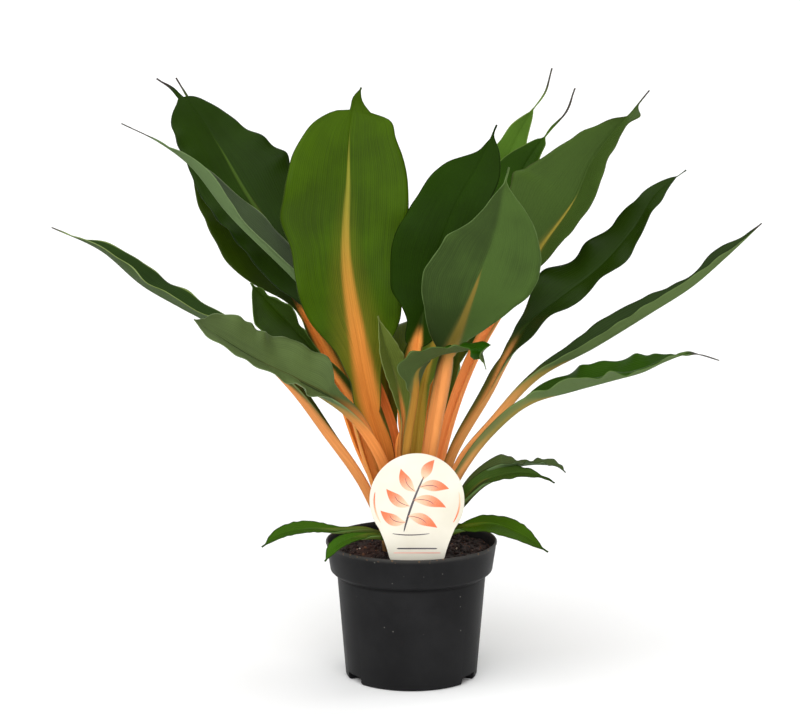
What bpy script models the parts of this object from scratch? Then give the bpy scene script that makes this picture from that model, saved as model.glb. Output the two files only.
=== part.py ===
"""Potted orange spider plant: nursery pot, peat, crown with roots, plant label and its leaves.

Real sizes are in millimetres and become metres where a mesh is made. The origin is the middle of the
pot's underside, +Z is up, and the plant is seen best looking along +Y.
"""

import math
from dataclasses import dataclass

import bmesh
import bpy
import numpy as np
from mathutils import Matrix, Vector, noise

MM = 0.001
CLEARANCE = 0.3

# Nursery pot
POT_HEIGHT = 97.0
POT_RIM_RADIUS = 60.0
POT_BAND_FOOT_RADIUS = 56.7
POT_BAND_HEIGHT = 21.0
POT_SHOULDER_DROP = 4.5
POT_BODY_TOP_RADIUS = 52.5
POT_BODY_FOOT_RADIUS = 46.2
POT_CORNER = 3.0
POT_WALL = 1.3
POT_FLOOR = 1.6
POT_LINE_DROP = 8.0
POT_LINE_STEP = 0.4
POT_SIDES = 48
NOTCH_ANGLES = (-30.0, 90.0, 210.0)
NOTCH_WIDTH = 17.0
NOTCH_DEPTH = 8.0
NOTCH_HEIGHT = 5.5

# Peat
SOIL_TOP = 89.0
SOIL_CRUMB = 1.6
SOIL_CRUMB_SIZE = 7.0
SOIL_SIDES = 40
SOIL_RINGS = (31.0, 35.5, 40.5, 46.0, 51.5)

# Crown: the short stem and its roots
CROWN_TOP = 87.0
CROWN_RADIUS = 27.5
CROWN_STEM = 14.0
ROOT_RADIUS = 21.0
ROOT_TIP_RADIUS = 5.0
ROOT_DEPTH = 58.0
ROOT_COUNT = 9
ROOT_RIDGE = 1.6

# Plant label
LABEL_HEAD_RADIUS = 32.5
LABEL_HEAD_CENTRE = (3.6, -41.0, 136.0)
LABEL_THICKNESS = 0.8
LABEL_SHOULDER = 26.0
LABEL_STAKE_TOP = 21.0
LABEL_STAKE_FOOT = 9.0
LABEL_POINT = 10.0
LABEL_LENGTH = 100.0
LABEL_LEAN = 4.0

# Leaf feet stand in rings on the crown's flat top
RING_INNER = 7.0
RING_MIDDLE = 15.5
RING_OUTER = 22.5
FOOT_GAP = 0.5
FOOT_STRAIGHT = 7.0
FOOT_WIDTH = 6.6
STALK_THICKNESS = 3.4
MARGIN_THICKNESS = 0.8
TIP_WIDTH = 1.6
STALK_ROWS = 6
BLADE_ROWS = 12
LEAF_COLUMNS = 4
# Degrees that a stalk's sides rise, and radians that the right margin's ripple runs ahead of the left
STALK_CHANNEL = 40.0
RIPPLE_OFFSET = 1.9
THICKEST = 1.4 * STALK_THICKNESS
LEAF_GREEN = (0.10, 0.20, 0.03)


@dataclass
class Leaf:
    """One leaf. The stalk's last point is the neck, where the blade starts; the blade's last is its tip."""

    name: str
    ring: float
    angle: float
    stalk: tuple
    blade: tuple
    width: float
    faces: tuple
    stalk_width: float = 11.0
    base_power: float = 1.0
    tip_power: float = 1.0
    tail: float = 0.05
    fold: float = 16.0
    roll: float = 0.0
    wave: float = 0.0
    waves: float = 2.0


LEAVES = (
    Leaf("leaf_front_broad", RING_MIDDLE, 186, ((-19, -5, 159), (-25, -2, 188)),
         ((-34, 4, 238), (-43, 14, 296), (-43, 30, 346), (-35, 50, 405)), 90, (0, -1, 0.15),
         stalk_width=15, base_power=0.85, tip_power=0.6, tail=0.03, fold=9, wave=3, waves=3),
    Leaf("leaf_left_high", RING_MIDDLE, 134, ((-18, 18, 162), (-50, 46, 238)),
         ((-84, 68, 283), (-120, 90, 333), (-140, 104, 365), (-163, 110, 395), (-183, 112, 410)),
         63, (0.3, -1, 0.5), base_power=0.8, tip_power=0.5, tail=0.1, fold=8, wave=3, waves=3),
    Leaf("leaf_left_folded", RING_INNER, 180, ((-8, 6, 156), (-23, 12, 203), (-50, 18, 248)),
         ((-82, 22, 281), (-128, 28, 325), (-156, 30, 359), (-177, 30, 374), (-201, 28, 386)),
         36, (0.2, 0.3, 1), base_power=0.8, tip_power=0.9, tail=0.18, fold=45),
    Leaf("leaf_left_deep", RING_OUTER, 128, ((-39, 26, 163), (-57, 52, 208), (-76, 78, 241)),
         ((-89, 90, 260), (-117, 115, 311), (-143, 135, 356), (-166, 150, 397), (-172, 152, 407)),
         69, (0.3, -1, 0.4), base_power=0.85, tip_power=0.7, tail=0.1, fold=10, wave=2, waves=3),
    Leaf("leaf_left_far", RING_OUTER, 187, ((-28, -3, 130), (-56, -8, 177), (-82, -12, 209)),
         ((-128, -16, 249), (-158, -20, 266), (-182, -22, 280), (-212, -22, 305), (-245, -20, 320)),
         34, (0.2, -0.2, 1), stalk_width=14, base_power=0.9, tip_power=0.9, tail=0.08, fold=32),
    Leaf("leaf_left_low", RING_MIDDLE, 217, ((-18, -22, 158), (-39, -34, 193), (-56, -40, 206)),
         ((-74, -46, 217), (-107, -64, 238), (-129, -72, 254), (-146, -75, 267)),
         58, (-0.2, -0.6, 0.8), stalk_width=13, base_power=0.8, tip_power=0.5, fold=24, roll=22,
         wave=2, waves=4),
    Leaf("leaf_left_cupped", RING_OUTER, 158, ((-32, 14, 154), (-42, 20, 186), (-61, 28, 216)),
         ((-79, 33, 237), (-98, 36, 257), (-113, 38, 273)), 42, (0.3, -0.8, 0.5),
         base_power=0.8, tip_power=0.8, fold=28),
    Leaf("leaf_centre_dark", RING_INNER, 275, ((-7, -8, 161), (-1, -12, 206), (4, -15, 238)),
         ((8, -16, 262), (17, -16, 300), (30, -12, 334), (47, -6, 364), (58, 0, 388)),
         62, (-0.3, -1, 0.1), base_power=0.75, tip_power=1.1, tail=0.05, fold=9, wave=2, waves=3),
    Leaf("leaf_right_front", RING_MIDDLE, 294, ((14, -18, 165), (20, -30, 206), (25, -42, 235)),
         ((34, -50, 261), (45, -62, 294), (56, -70, 328), (61, -72, 355), (64, -70, 367)),
         77, (0, 0.9, 0.5), stalk_width=14, base_power=0.7, tip_power=0.8, tail=0.05, fold=8),
    Leaf("leaf_right_back", RING_MIDDLE, 35, ((21, 14, 154), (42, 30, 216), (73, 50, 267)),
         ((92, 58, 295), (117, 72, 329), (129, 80, 355), (142, 86, 372), (158, 92, 393), (167, 94, 403)),
         76, (0, -1, 0.15), stalk_width=12, base_power=0.7, tip_power=0.95, tail=0.1, fold=37, roll=-37),
    Leaf("leaf_back_pale", RING_MIDDLE, 100, ((3, 24, 155), (9, 52, 197)),
         ((29, 98, 256), (56, 132, 318), (73, 150, 353), (89, 158, 382), (102, 165, 414)),
         44, (0, -1, 0.5), base_power=0.8, tip_power=0.6, tail=0.18),
    Leaf("leaf_back_dark", RING_MIDDLE, 67, ((17, 27, 153), (31, 54, 213)),
         ((50, 80, 266), (67, 100, 311), (82, 120, 345), (99, 132, 368), (119, 146, 400)),
         44, (0, -1, 0.5), stalk_width=10, base_power=0.8, tip_power=0.55, tail=0.2),
    Leaf("leaf_right_wavy", RING_MIDDLE, 4, ((27, 6, 152), (55, 14, 202), (65, 18, 221)),
         ((84, 24, 249), (104, 28, 264), (132, 34, 285), (156, 38, 312), (172, 40, 337), (189, 42, 353)),
         36, (-0.3, -0.5, 0.8), base_power=0.9, tip_power=0.7, tail=0.04, fold=12, wave=4, waves=4),
    Leaf("leaf_right_narrow", RING_OUTER, 356, ((32, -3, 149), (61, -8, 183), (86, -13, 216)),
         ((125, -19, 244), (163, -24, 268), (191, -27, 286), (212, -28, 305), (234, -28, 323)),
         23, (-0.3, 0.1, 1), stalk_width=9, base_power=0.9, tip_power=1.1, tail=0.08, fold=34),
    Leaf("leaf_right_drooping", RING_MIDDLE, 332, ((34, -15, 145), (61, -24, 178), (82, -34, 202)),
         ((108, -44, 213), (136, -54, 222), (156, -62, 229), (169, -66, 237), (186, -70, 245),
          (202, -74, 242)),
         35, (0, 0.1, 1), stalk_width=9, base_power=0.8, tip_power=0.7, tail=0.22, fold=30, wave=2, waves=4),
    Leaf("leaf_small_right_upper", RING_OUTER, 331, ((33, -23, 132), (47, -26, 147), (61, -31, 156)),
         ((74, -35, 159), (88, -39, 160), (101, -43, 158), (105, -45, 155)), 18, (0, 0, 1), stalk_width=7),
    Leaf("leaf_small_right_lower", RING_OUTER, 308, ((36, -31, 130), (50, -34, 143)),
         ((64, -40, 150), (77, -46, 154), (88, -51, 154), (97, -55, 150)), 17, (0, 0, 1), stalk_width=7),
    Leaf("leaf_rim_right", RING_OUTER, 285, ((22, -32, 108), (35, -37, 114)),
         ((54, -45, 119), (72, -58, 116), (92, -72, 106)), 22, (0, -0.5, 1), stalk_width=7),
    Leaf("leaf_rim_left_long", RING_OUTER, 215, ((-27, -26, 110), (-49, -36, 114)),
         ((-75, -44, 117), (-90, -50, 114), (-102, -58, 107)), 14, (0, -0.4, 1), stalk_width=6),
    Leaf("leaf_rim_left_short", RING_OUTER, 240, ((-18, -33, 106), (-30, -44, 110)),
         ((-42, -52, 110), (-52, -58, 106), (-59, -66, 98)), 12, (0, -0.4, 1), stalk_width=6),
    Leaf("leaf_small_front", RING_OUTER, 262, ((-3, -33, 172), (2, -42, 210)),
         ((3, -50, 228), (14, -58, 238), (32, -70, 244), (45, -80, 246), (49, -86, 234)),
         30, (-0.5, 0.4, 0.7), base_power=0.6, tip_power=0.6, stalk_width=8),
    Leaf("leaf_young", RING_MIDDLE, 255, ((-8, -15, 162), (-6, -18, 186)),
         ((-8, -20, 207), (-13, -22, 227), (-19, -22, 243), (-23, -20, 258)), 16, (0.8, -0.6, 0),
         stalk_width=5, fold=35),
    Leaf("leaf_behind_left", RING_OUTER, 103, ((-6, 29, 155), (-12, 68, 208)),
         ((-18, 100, 222), (-28, 150, 196), (-36, 182, 156)), 44, (0, 0, 1), tip_power=0.8, wave=2, waves=3),
    Leaf("leaf_behind_right", RING_OUTER, 80, ((4, 32, 148), (13, 66, 186)),
         ((22, 95, 198), (34, 130, 186), (42, 158, 160)), 36, (0, 0, 1), tip_power=0.8, wave=2),
)


def empty_scene():
    for thing in list(bpy.data.objects):
        bpy.data.objects.remove(thing, do_unlink=True)


def collection(name):
    group = bpy.data.collections.new(name)
    bpy.context.scene.collection.children.link(group)
    return group


def place_mesh(name, bm, group):
    mesh = bpy.data.meshes.new(name)
    bm.to_mesh(mesh)
    bm.free()
    piece = bpy.data.objects.new(name, mesh)
    group.objects.link(piece)
    return piece


def give_finish(piece, colour, roughness):
    material = bpy.data.materials.new(piece.name)
    material.use_nodes = True
    shader = material.node_tree.nodes["Principled BSDF"]
    shader.inputs["Base Color"].default_value = (*colour, 1.0)
    shader.inputs["Roughness"].default_value = roughness
    shader.inputs["Metallic"].default_value = 0.0
    piece.data.materials.append(material)


def turned(name, profile, sides, group):
    """A closed solid turned about Z from (radius, height) points, which run down its outer side."""
    bm = bmesh.new()
    points = [bm.verts.new((radius * MM, 0, height * MM)) for radius, height in profile]
    for first, second in zip(points, points[1:]):
        bm.edges.new((first, second))
    piece = place_mesh(name, bm, group)
    screw = piece.modifiers.new("Turn", "SCREW")
    screw.steps = sides
    screw.render_steps = sides
    screw.use_merge_vertices = True
    screw.merge_threshold = 0.00001
    screw.use_smooth_shade = True
    return piece


def bake_modifiers(piece):
    """Replaces a piece's mesh by its evaluated one, so that it can be shaped further."""
    shape = bpy.data.meshes.new_from_object(piece.evaluated_get(bpy.context.evaluated_depsgraph_get()))
    piece.modifiers.clear()
    piece.data = shape


def cut(piece, cutter):
    cutter.display_type = "WIRE"
    cutter.hide_render = True
    boolean = piece.modifiers.new("Cut " + cutter.name, "BOOLEAN")
    boolean.operation = "DIFFERENCE"
    boolean.object = cutter


def box_cutter(name, size, centre, turn, group):
    bm = bmesh.new()
    bmesh.ops.create_cube(bm, size=1.0)
    bmesh.ops.scale(bm, vec=Vector(size) * MM, verts=bm.verts)
    bmesh.ops.transform(bm, matrix=Matrix.Translation(Vector(centre) * MM), verts=bm.verts)
    cutter = place_mesh(name, bm, group)
    cutter.matrix_world = turn
    return cutter


def inner_radius(height):
    """Radius of the pot's inner wall below the band, at a height above the underside."""
    top = POT_HEIGHT - POT_BAND_HEIGHT - POT_SHOULDER_DROP
    share = (height - POT_CORNER) / (top - POT_CORNER)
    return POT_BODY_FOOT_RADIUS + share * (POT_BODY_TOP_RADIUS - POT_BODY_FOOT_RADIUS) - POT_WALL


def build_pot(group, cutters):
    band_foot = POT_HEIGHT - POT_BAND_HEIGHT
    body_top = band_foot - POT_SHOULDER_DROP
    line = body_top - POT_LINE_DROP
    line_radius = inner_radius(line) + POT_WALL
    profile = (
        (0, POT_FLOOR),
        (inner_radius(POT_FLOOR + POT_CORNER) - POT_CORNER, POT_FLOOR),
        (inner_radius(POT_FLOOR + POT_CORNER), POT_FLOOR + POT_CORNER),
        (inner_radius(body_top) - POT_LINE_STEP, body_top),
        (POT_BAND_FOOT_RADIUS - POT_WALL, band_foot + 1.0),
        (POT_RIM_RADIUS - POT_WALL, POT_HEIGHT - 0.5),
        (POT_RIM_RADIUS - POT_WALL / 2, POT_HEIGHT),
        (POT_RIM_RADIUS, POT_HEIGHT - 0.5),
        (POT_RIM_RADIUS - 0.3, POT_HEIGHT - 3.0),
        (POT_BAND_FOOT_RADIUS, band_foot),
        (POT_BAND_FOOT_RADIUS - 0.8, band_foot - 0.8),
        (POT_BODY_TOP_RADIUS, body_top),
        (line_radius, line),
        (line_radius - POT_LINE_STEP, line - 0.6),
        (POT_BODY_FOOT_RADIUS, POT_CORNER),
        (POT_BODY_FOOT_RADIUS - POT_CORNER * 0.3, POT_CORNER * 0.3),
        (POT_BODY_FOOT_RADIUS - POT_CORNER, 0),
        (0, 0),
    )
    pot = turned("pot", profile, POT_SIDES, group)
    for number, angle in enumerate(NOTCH_ANGLES):
        centre = (POT_BODY_FOOT_RADIUS, 0, NOTCH_HEIGHT / 2 - 1.0)
        size = (2 * NOTCH_DEPTH, NOTCH_WIDTH, NOTCH_HEIGHT + 2.0)
        turn = Matrix.Rotation(math.radians(angle), 4, "Z")
        cut(pot, box_cutter(f"drain_notch_{number + 1}", size, centre, turn, cutters))
    give_finish(pot, (0.022, 0.022, 0.024), 0.45)


def crown_profile(margin):
    """The crown and its roots from the axis at the top, outside, down to the root tip."""
    return (
        (0, CROWN_TOP),
        (CROWN_RADIUS + margin, CROWN_TOP),
        (CROWN_RADIUS + margin, CROWN_TOP - CROWN_STEM),
        (ROOT_RADIUS + margin, CROWN_TOP - CROWN_STEM - 9),
        (ROOT_RADIUS * 0.8 + margin, CROWN_TOP - CROWN_STEM - ROOT_DEPTH * 0.55),
        (ROOT_TIP_RADIUS + margin, CROWN_TOP - CROWN_STEM - ROOT_DEPTH - margin),
        (0, CROWN_TOP - CROWN_STEM - ROOT_DEPTH - margin),
    )


def build_crown(group):
    """The flat top carries the leaf feet; below the stem the sides are grooved between the roots."""
    crown = turned("crown", crown_profile(0), 4 * ROOT_COUNT, group)
    bake_modifiers(crown)
    stem_foot = (CROWN_TOP - CROWN_STEM) * MM
    for vertex in crown.data.vertices:
        radius = math.hypot(vertex.co.x, vertex.co.y)
        if vertex.co.z < stem_foot - 0.001 and radius > 0:
            angle = math.atan2(vertex.co.y, vertex.co.x)
            groove = ROOT_RIDGE * MM * (1 - math.cos(ROOT_COUNT * angle)) / 2
            vertex.co.xy = vertex.co.xy * (1 - groove / radius)
    give_finish(crown, (0.55, 0.42, 0.22), 0.6)


def label_outline():
    """Half outline of the label, right side, from the head's top down to the point."""
    join = math.asin(LABEL_SHOULDER / LABEL_HEAD_RADIUS)
    steps = 12
    head = [
        (LABEL_HEAD_RADIUS * math.sin(turn), LABEL_HEAD_RADIUS * math.cos(turn))
        for turn in ((math.pi - join) * step / steps for step in range(steps + 1))
    ]
    shoulder = head[-1][1]
    return head + [
        (LABEL_SHOULDER * 0.92, shoulder - 6),
        (LABEL_STAKE_TOP, shoulder - 13),
        (LABEL_STAKE_TOP, shoulder - 22),
        (LABEL_STAKE_FOOT, LABEL_HEAD_RADIUS - LABEL_LENGTH + LABEL_POINT),
        (0, LABEL_HEAD_RADIUS - LABEL_LENGTH),
    ]


def flat_outline(name, right_side, thickness, group):
    """A flat closed plate in the XZ plane from the right half of its outline."""
    left_side = [(-x, z) for x, z in reversed(right_side[1:-1])]
    points = right_side + left_side
    curve = bpy.data.curves.new(name, "CURVE")
    curve.dimensions = "2D"
    curve.fill_mode = "BOTH"
    curve.extrude = thickness / 2 * MM
    spline = curve.splines.new("POLY")
    spline.points.add(len(points) - 1)
    spline.use_cyclic_u = True
    for point, (x, z) in zip(spline.points, points):
        point.co = (x * MM, z * MM, 0, 1)
    plate = bpy.data.objects.new(name, curve)
    group.objects.link(plate)
    lean = math.radians(90 - LABEL_LEAN)
    plate.matrix_world = (
        Matrix.Translation(Vector(LABEL_HEAD_CENTRE) * MM) @ Matrix.Rotation(lean, 4, "X")
    )
    bpy.context.view_layer.update()
    mesh = bpy.data.meshes.new_from_object(plate.evaluated_get(bpy.context.evaluated_depsgraph_get()))
    bm = bmesh.new()
    bm.from_mesh(mesh)
    bmesh.ops.remove_doubles(bm, verts=bm.verts, dist=0.00001)
    bmesh.ops.transform(bm, matrix=plate.matrix_world, verts=bm.verts)
    bmesh.ops.recalc_face_normals(bm, faces=bm.faces)
    bpy.data.objects.remove(plate, do_unlink=True)
    return place_mesh(name, bm, group)


def build_label(group):
    label = flat_outline("plant_label", label_outline(), LABEL_THICKNESS, group)
    give_finish(label, (0.85, 0.83, 0.74), 0.35)


def build_soil(group, cutters):
    """Peat that fills the pot, crumbly on top, with a plain hole for the crown and a slot for the label."""
    band_foot = POT_HEIGHT - POT_BAND_HEIGHT
    body_top = band_foot - POT_SHOULDER_DROP
    band_slope = (POT_RIM_RADIUS - POT_BAND_FOOT_RADIUS) / POT_BAND_HEIGHT
    band_inner = POT_BAND_FOOT_RADIUS - POT_WALL - 2 * CLEARANCE
    surface_edge = band_inner + band_slope * (SOIL_TOP - band_foot) - 0.6
    hole = crown_profile(CLEARANCE)
    floor = POT_FLOOR + CLEARANCE
    corner = floor + POT_CORNER + 1.0
    profile = [(0, floor), (inner_radius(corner) - POT_CORNER - 1.5, floor)]
    profile.append((inner_radius(corner) - 2 * CLEARANCE, corner))
    profile.append((inner_radius(body_top) - 3 * CLEARANCE - POT_LINE_STEP, body_top))
    profile.append((band_inner - 0.6, band_foot + 1.5))
    profile.append((surface_edge, SOIL_TOP - 2.5))
    profile += [(radius, SOIL_TOP) for radius in reversed(SOIL_RINGS)]
    profile.append((CROWN_RADIUS + CLEARANCE, SOIL_TOP))
    profile += [(radius, height) for radius, height in hole[2:]]
    soil = turned("soil", tuple(reversed(profile)), SOIL_SIDES, group)
    bake_modifiers(soil)
    for vertex in soil.data.vertices:
        radius = math.hypot(vertex.co.x, vertex.co.y) / MM
        if vertex.co.z > (SOIL_TOP - 1) * MM and radius > CROWN_RADIUS + 1:
            lump = noise.noise(vertex.co / (SOIL_CRUMB_SIZE * MM))
            vertex.co.z += SOIL_CRUMB * lump * MM
    slot_size = (2 * LABEL_STAKE_TOP + 1.2, LABEL_THICKNESS + 2 * CLEARANCE, LABEL_LENGTH)
    slot_centre = (0, 0, LABEL_HEAD_RADIUS - LABEL_LENGTH / 2 - CLEARANCE * 4)
    turn = Matrix.Translation(Vector(LABEL_HEAD_CENTRE) * MM)
    turn = turn @ Matrix.Rotation(math.radians(-LABEL_LEAN), 4, "X")
    cut(soil, box_cutter("label_slot", slot_size, slot_centre, turn, cutters))
    give_finish(soil, (0.03, 0.016, 0.011), 0.95)


def smooth_line(points, steps=14):
    """Dense points on a smooth curve through the given ones, and the length up to each given one."""
    points = np.array(points, float)
    spans = np.linalg.norm(np.diff(points, axis=0), axis=1)
    knots = np.concatenate(([0.0], np.cumsum(spans)))
    slopes = np.gradient(points, knots, axis=0)
    line = [points[0]]
    for start, span in enumerate(spans):
        for share in (np.arange(steps) + 1) / steps:
            near, far = points[start], points[start + 1]
            turn = share * share * (3 - 2 * share)
            leave = share * (1 - share) ** 2 * span
            arrive = share * share * (share - 1) * span
            line.append(near + (far - near) * turn + slopes[start] * leave + slopes[start + 1] * arrive)
    line = np.array(line)
    lengths = np.concatenate(([0.0], np.cumsum(np.linalg.norm(np.diff(line, axis=0), axis=1))))
    return line, lengths, lengths[::steps]


def unit(vector):
    return vector / np.linalg.norm(vector)


class LeafShape:
    """Turns a place on a leaf, along 0 to 1 and across -1 to 1, into a point and a thickness."""

    def __init__(self, leaf):
        self.leaf = leaf
        angle = math.radians(leaf.angle)
        outward = np.array((math.cos(angle), math.sin(angle), 0.0))
        foot = outward * leaf.ring
        foot[2] = CROWN_TOP + FOOT_GAP
        collar = foot + (0, 0, FOOT_STRAIGHT)
        self.inward = -outward
        points = (foot, collar) + leaf.stalk + leaf.blade
        self.line, self.lengths, marks = smooth_line(points)
        self.neck = marks[1 + len(leaf.stalk)]

    def station(self, along):
        stalk_share = STALK_ROWS / (STALK_ROWS + BLADE_ROWS)
        if along <= stalk_share:
            return self.neck * along / stalk_share
        return self.neck + (self.lengths[-1] - self.neck) * (along - stalk_share) / (1 - stalk_share)

    def at(self, length):
        return np.array([np.interp(length, self.lengths, self.line[:, axis]) for axis in range(3)])

    def frame(self, length):
        """The spine's direction there, and the way that the leaf's upper side faces."""
        if length < 1.0:
            ahead = np.array((0.0, 0.0, 1.0))
        else:
            ahead = unit(self.at(min(length + 4, self.lengths[-1])) - self.at(max(length - 4, 0)))
        turn = np.clip((length / self.neck - 0.15) / 0.85, 0, 1)
        facing = self.inward * (1 - turn) + unit(np.array(self.leaf.faces, float)) * turn
        upward = unit(facing - ahead * facing.dot(ahead))
        side = np.cross(ahead, upward)
        roll = math.radians(self.leaf.roll * turn)
        return ahead, upward * math.cos(roll) + side * math.sin(roll)

    def blade_share(self, length):
        return float(np.clip((length - self.neck) / (self.lengths[-1] - self.neck), 0, 1))

    def half_width(self, length):
        leaf = self.leaf
        share = self.blade_share(length)
        peak = leaf.base_power / (leaf.base_power + leaf.tip_power)
        crest = peak ** leaf.base_power * (1 - peak) ** leaf.tip_power
        body = min(share / (1 - leaf.tail), 1)
        blade = body ** leaf.base_power * (1 - body) ** leaf.tip_power / crest
        opening = min(length / (0.9 * self.neck), 1.0)
        foot = min(FOOT_WIDTH, leaf.stalk_width)
        stalk = foot + (leaf.stalk_width - foot) * opening * opening * (3 - 2 * opening)
        stalk = stalk * (1 - share) + TIP_WIDTH * share
        return stalk / 2 + max(leaf.width / 2 - stalk / 2, 0) * blade

    def place(self, along, across):
        leaf = self.leaf
        length = self.station(along)
        share = self.blade_share(length)
        ahead, upward = self.frame(length)
        side = np.cross(ahead, upward)
        half = self.half_width(length)
        channel = STALK_CHANNEL * (1 - share) ** 4
        fold = math.radians(leaf.fold * min(4 * share, 1) + channel * (1 - min(4 * share, 1)))
        reach = abs(across) * half
        ripple = 2 * math.pi * leaf.waves * share + (RIPPLE_OFFSET if across > 0 else 0)
        lift = leaf.wave * math.sin(ripple) * abs(across) ** 1.5 * math.sin(math.pi * share) ** 0.7
        point = self.at(length) + side * math.copysign(reach * math.cos(fold), across)
        return point + upward * (reach * math.sin(fold) + lift)

    def thickness(self, along, across):
        share = self.blade_share(self.station(along))
        middle = STALK_THICKNESS * (1 - share) ** 1.5 + MARGIN_THICKNESS * (1 - (1 - share) ** 1.5)
        middle = min(middle, STALK_THICKNESS * self.leaf.stalk_width / 9)
        middle = max(middle, MARGIN_THICKNESS)
        return MARGIN_THICKNESS + (middle - MARGIN_THICKNESS) * (1 - abs(across)) ** (0.6 + 2 * share)


def build_leaf(leaf, group):
    """A flat grid laid along the leaf's spine and given its thickness, most along the midrib."""
    shape = LeafShape(leaf)
    bm = bmesh.new()
    bmesh.ops.create_grid(bm, x_segments=LEAF_COLUMNS, y_segments=STALK_ROWS + BLADE_ROWS, size=1.0)
    weights = []
    for vertex in bm.verts:
        across = vertex.co.x
        along = (vertex.co.y + 1) / 2
        weights.append(shape.thickness(along, across) / THICKEST)
        vertex.co = shape.place(along, across) * MM
    bmesh.ops.triangulate(bm, faces=bm.faces, quad_method="FIXED")
    piece = place_mesh(leaf.name, bm, group)
    thick = piece.vertex_groups.new(name="thickness")
    for index, weight in enumerate(weights):
        thick.add([index], weight, "REPLACE")
    solidify = piece.modifiers.new("Thickness", "SOLIDIFY")
    solidify.thickness = THICKEST * MM
    solidify.offset = -1.0
    solidify.vertex_group = thick.name
    piece.data.shade_smooth()
    give_finish(piece, LEAF_GREEN, 0.4)


empty_scene()
plant = collection("potted_orange_spider_plant")
cutting = collection("cutters")
build_pot(plant, cutting)
build_soil(plant, cutting)
build_crown(plant)
build_label(plant)
for each_leaf in LEAVES:
    build_leaf(each_leaf, plant)
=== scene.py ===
import math
import random

import bpy
import numpy as np
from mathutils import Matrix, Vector, noise


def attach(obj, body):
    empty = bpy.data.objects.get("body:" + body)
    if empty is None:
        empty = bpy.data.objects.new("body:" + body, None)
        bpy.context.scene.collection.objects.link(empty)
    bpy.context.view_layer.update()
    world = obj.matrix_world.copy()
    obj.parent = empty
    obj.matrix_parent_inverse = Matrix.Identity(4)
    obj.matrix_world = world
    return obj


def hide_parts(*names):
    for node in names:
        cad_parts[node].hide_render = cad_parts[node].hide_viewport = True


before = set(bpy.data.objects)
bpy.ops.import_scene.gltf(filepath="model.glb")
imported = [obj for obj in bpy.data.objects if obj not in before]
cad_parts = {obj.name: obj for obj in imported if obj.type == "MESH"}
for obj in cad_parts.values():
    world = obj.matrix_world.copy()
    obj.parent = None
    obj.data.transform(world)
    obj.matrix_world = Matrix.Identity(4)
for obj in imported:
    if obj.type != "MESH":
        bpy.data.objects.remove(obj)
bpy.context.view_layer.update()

bpy.ops.object.select_all(action="DESELECT")


# Nursery pot: one thin shell of black polypropylene, injection moulded with a wide rim band, a crease
# under it that is darkened with painted shade, and three drain notches in the foot. It is turned ring by
# ring from the underside up the outside, over the lip and down the inside. Sizes in millimetres.
MM = 0.001
foot_radius = 46.2
pot_rings = (
    (44.4, 0.0), (45.5, 0.5), (foot_radius, 1.8), (52.0, 71.6), (51.8, 72.4), (52.0, 73.0),
    (53.2, 73.8), (55.6, 75.3), (56.5, 76.2), (56.85, 77.2), (58.9, 90.6), (59.3, 94.0),
    (59.9, 95.2), (59.95, 96.2), (59.6, 96.85), (59.1, 97.0), (58.6, 96.7), (58.4, 95.8),
    (55.5, 77.4), (54.8, 76.2), (51.0, 71.6), (44.9, 6.0), (43.8, 2.6), (41.5, 1.7),
)
notch_deep, notch_wide, notch_high = 16, 17, 8.5
notch_middle = 1.25
notch_rounding = 1.2


def edit(piece):
    """Opens one piece for editing, with all of it selected and nothing else."""
    bpy.ops.object.select_all(action="DESELECT")
    piece.select_set(True)
    bpy.context.view_layer.objects.active = piece
    bpy.ops.object.mode_set(mode="EDIT")
    bpy.ops.mesh.select_all(action="SELECT")


def close():
    bpy.ops.object.mode_set(mode="OBJECT")


def just_added(name):
    piece = bpy.context.object
    piece.name = name
    return piece


def finish_modifiers(piece):
    bpy.context.view_layer.objects.active = piece
    for modifier in list(piece.modifiers):
        bpy.ops.object.modifier_apply(modifier=modifier.name)


def turn_rings(name, rings, sides):
    """A turned shell that follows (radius, height) rings and is closed flat at its first and last."""
    radius, height = rings[0]
    bpy.ops.mesh.primitive_circle_add(vertices=sides, radius=radius * MM, location=(0, 0, height * MM))
    shell = just_added(name)
    bpy.ops.object.transform_apply(location=True, rotation=True, scale=True)
    edit(shell)
    bpy.ops.mesh.edge_face_add()
    bpy.ops.mesh.select_mode(type="EDGE")
    bpy.ops.mesh.select_all(action="DESELECT")
    bpy.ops.mesh.select_non_manifold()
    for wider, higher in rings[1:]:
        bpy.ops.mesh.extrude_edges_move(TRANSFORM_OT_translate={"value": (0, 0, (higher - height) * MM)})
        grow = wider / radius
        bpy.ops.transform.resize(value=(grow, grow, 1), center_override=(0, 0, higher * MM))
        radius, height = wider, higher
    bpy.ops.mesh.edge_face_add()
    bpy.ops.mesh.select_mode(type="VERT")
    bpy.ops.mesh.select_all(action="SELECT")
    bpy.ops.mesh.normals_make_consistent(inside=False)
    close()
    return shell


def cut_away(piece, cutter):
    """Cuts one closed piece out of another and throws the cutter away."""
    cutting = piece.modifiers.new("Cut", "BOOLEAN")
    cutting.operation = "DIFFERENCE"
    cutting.object = cutter
    finish_modifiers(piece)
    bpy.data.objects.remove(cutter, do_unlink=True)


def paint(red, green, blue):
    """A colour as the eye reads it, 0 to 255 a channel, in the values that a shader takes."""
    light = (value / 255 for value in (red, green, blue))
    return tuple(v / 12.92 if v <= 0.04 else ((v + 0.055) / 1.055) ** 2.4 for v in light) + (1.0,)


def source(tree, kind, **settings):
    """A new node with its settings, and nothing linked to it yet."""
    made = tree.nodes.new("ShaderNode" + kind)
    for setting, value in settings.items():
        setattr(made, setting, value)
    return made


def feed(socket, value):
    """Links an output to an input, or sets the input's own value."""
    if isinstance(value, bpy.types.NodeSocket):
        socket.id_data.links.new(value, socket)
    else:
        socket.default_value = value


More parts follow.
